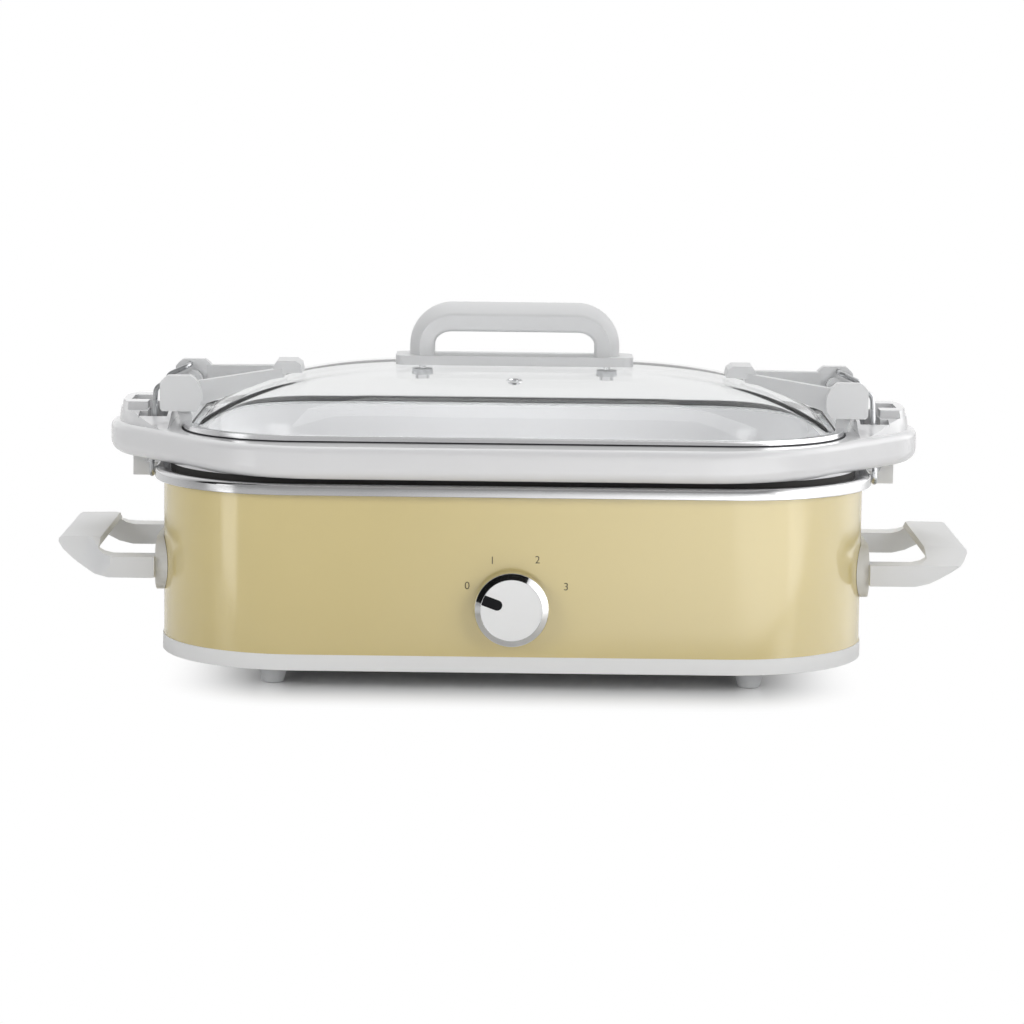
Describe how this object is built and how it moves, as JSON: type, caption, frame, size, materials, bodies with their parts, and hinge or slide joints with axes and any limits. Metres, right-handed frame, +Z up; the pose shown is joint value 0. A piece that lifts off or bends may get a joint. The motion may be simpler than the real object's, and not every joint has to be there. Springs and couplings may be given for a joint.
{
  "type": "casserole slow cooker",
  "caption": "Long casserole slow cooker: painted heating base with side grips and a dial, lift-out stoneware crock with ears, domed glass lid held by wire latches.",
  "frame": {"origin": "floor level under the feet, at the middle of the plan outline", "axes": "+X to the right along the length, -Y to the front with the dial, +Z up"},
  "size_m": [0.52, 0.276, 0.2075],
  "materials": {
    "painted_wall": "warm cream paint, satin to gloss",
    "white_plastic": "moulded, fine satin",
    "foot_rubber": "soft grey-white",
    "polished_steel": "polished",
    "well_sheet": "plain pressed sheet",
    "heater": "heat-tinted foil",
    "fibre": "fibre felt",
    "plated_steel": "zinc plated",
    "black_plastic": "black",
    "fuse_body": "plain",
    "stoneware": "glossy white glaze",
    "lid_glass": "clear tempered",
    "silicone": "grey silicone"
  },
  "bodies": {
    "base": {"housing": "painted_wall", "base_tray": "white_plastic", "feet": "foot_rubber", "top_trim_ring": "polished_steel", "heating_well": "well_sheet", "heater_band": "heater", "insulation_wrap": "fibre", "well_studs": "plated_steel", "stud_nuts": "plated_steel", "selector_switch": "black_plastic", "switch_nut": "plated_steel", "thermal_fuse": "fuse_body", "fuse_clip": "well_sheet", "cord_grommet": "black_plastic", "left_handle_plate": "white_plastic", "right_handle_plate": "white_plastic", "left_side_handle": "white_plastic", "right_side_handle": "white_plastic", "handle_screws": "plated_steel"},
    "knob": {"switch_shaft": "plated_steel", "knob_shell": "polished_steel", "knob_face": "white_plastic", "knob_pointer": "black_plastic"},
    "crock": {"crock": "stoneware", "left_crock_ear": "stoneware", "right_crock_ear": "stoneware"},
    "lid": {"lid_glass": "lid_glass", "lid_band": "polished_steel", "lid_gasket": "silicone", "vent_eyelet": "plated_steel", "lid_handle_plate": "white_plastic", "lid_handle": "white_plastic", "lid_handle_screws": "plated_steel", "lid_handle_washers": "silicone", "left_latch_bracket": "white_plastic", "right_latch_bracket": "white_plastic", "left_pivot_pin": "plated_steel", "right_pivot_pin": "plated_steel"},
    "left_lever": {"left_latch_lever": "white_plastic"},
    "right_lever": {"right_latch_lever": "white_plastic"},
    "left_bail": {"left_bail_wire": "plated_steel", "left_bail_hook": "white_plastic"},
    "right_bail": {"right_bail_wire": "plated_steel", "right_bail_hook": "white_plastic"}
  },
  "joints": [
    {"name": "knob_turn", "type": "hinge", "parent": "base", "child": "knob", "pos_m": [0, -0.1262, 0.048], "axis": [0, 1, 0], "range_deg": [0, 140]},
    {"name": "crock_lift", "type": "slide", "parent": "base", "child": "crock", "axis": [0, 0, 1], "range_m": [0, 0.1]},
    {"name": "lid_lift", "type": "slide", "parent": "crock", "child": "lid", "axis": [0, 0, 1], "range_m": [0, 0.1]},
    {"name": "left_lever_turn", "type": "hinge", "parent": "lid", "child": "left_lever", "pos_m": [-0.191, 0, 0.156], "axis": [0, -1, 0], "range_deg": [0, 110]},
    {"name": "right_lever_turn", "type": "hinge", "parent": "lid", "child": "right_lever", "pos_m": [0.191, 0, 0.156], "axis": [0, 1, 0], "range_deg": [0, 110]},
    {"name": "left_bail_swing", "type": "hinge", "parent": "left_lever", "child": "left_bail", "pos_m": [-0.19333, 0, 0.16469], "axis": [0, -1, 0], "range_deg": [-104, 0]},
    {"name": "right_bail_swing", "type": "hinge", "parent": "right_lever", "child": "right_bail", "pos_m": [0.19333, 0, 0.16469], "axis": [0, 1, 0], "range_deg": [-104, 0]}
  ],
  "couplings": [
    {"joint": "left_bail_swing", "follows": "left_lever_turn", "ratio": -0.94},
    {"joint": "right_bail_swing", "follows": "right_lever_turn", "ratio": -0.94}
  ]
}
